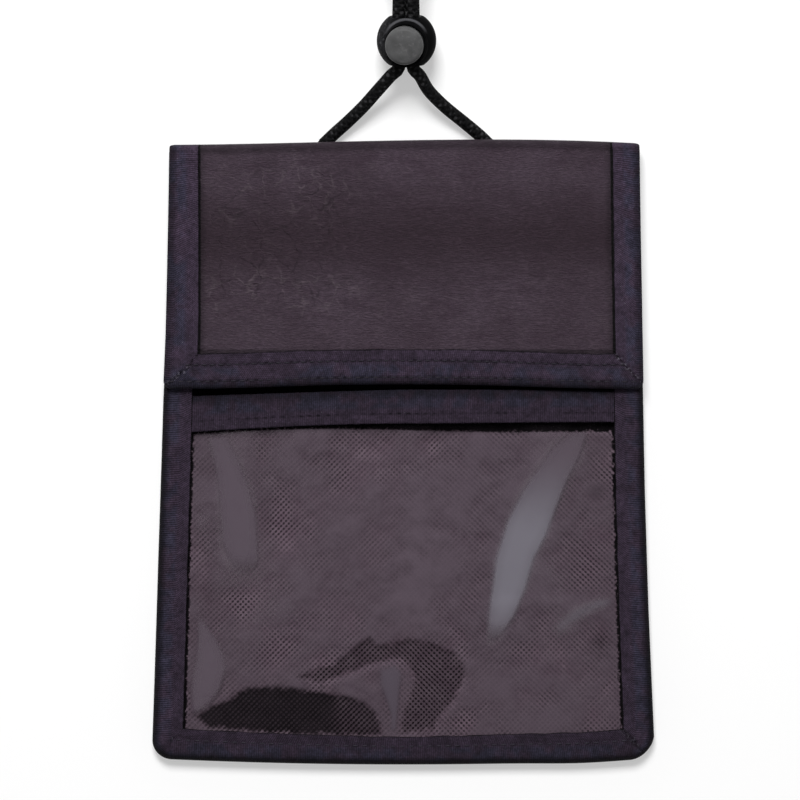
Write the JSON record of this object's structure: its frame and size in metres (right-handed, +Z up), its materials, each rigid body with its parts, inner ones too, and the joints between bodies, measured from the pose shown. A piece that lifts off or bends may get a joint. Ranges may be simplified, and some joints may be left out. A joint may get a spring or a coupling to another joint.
{
  "type": "credential wallet",
  "caption": "Flat bound credential wallet with a clear window under a hinged leatherette flap, on a neck cord with a sprung cord lock.",
  "frame": {"origin": "under the middle of the wallet, cord left out, on the surface that it lies on", "axes": "+X to the wallet's right and +Y towards its top edge, as seen from the front; +Z up, out of the front"},
  "size_m": [0.1266, 0.3036, 0.0179],
  "materials": {
    "dotted fabric": "woven, dark mauve grey with a fine diagonal lattice of dots",
    "clear vinyl": "flexible, clear and glossy, with soft waves",
    "ribbed tape": "finely ribbed binding tape, dark slate with a purple cast",
    "leatherette": "satin, fine creases",
    "lining cloth": "plain weave, matte",
    "fastener tape": "hook and loop tape, matte black",
    "black braid": "round braid, matte black",
    "black plastic": "moulded, satin black",
    "grey plastic": "moulded, satin grey",
    "spring steel": "drawn wire"
  },
  "bodies": {
    "wallet": {"back_panel": "dotted fabric", "front_panel": "dotted fabric", "window_sheet": "clear vinyl", "mouth_binding": "ribbed tape", "window_binding": "ribbed tape", "body_binding": "ribbed tape", "loop_patch": "fastener tape", "flap_fold": "leatherette", "fold_binding_left": "ribbed tape", "fold_binding_right": "ribbed tape", "cord_end_left": "black braid", "cord_end_right": "black braid", "neck_cord_left": "black braid", "neck_cord_right": "black braid", "neck_cord_hank": "black braid", "hank_tie": "fastener tape"},
    "flap": {"flap_panel": "leatherette", "flap_lining": "lining cloth", "flap_binding": "ribbed tape", "hook_patch": "fastener tape"},
    "cord_lock": {"lock_housing": "black plastic", "lock_spring": "spring steel"},
    "lock_button": {"lock_plunger": "grey plastic"}
  },
  "joints": [
    {"name": "flap_hinge", "type": "hinge", "parent": "wallet", "child": "flap", "pos_m": [0, 0.07685, 0.0044], "axis": [-1, 0, 0], "range_deg": [0, 140], "deforming": ["flap_fold", "fold_binding_left", "fold_binding_right"]},
    {"name": "lock_slide", "type": "slide", "parent": "wallet", "child": "cord_lock", "axis": [0, 0.9848, 0.1736], "range_m": [0, 0.008]},
    {"name": "button_press", "type": "slide", "parent": "cord_lock", "child": "lock_button", "axis": [0.0732, 0.1732, -0.9822], "range_m": [0, 0.0022], "stiffness_N_per_m": 800, "springref_m": -0.0005, "deforming": ["lock_spring"]}
  ]
}
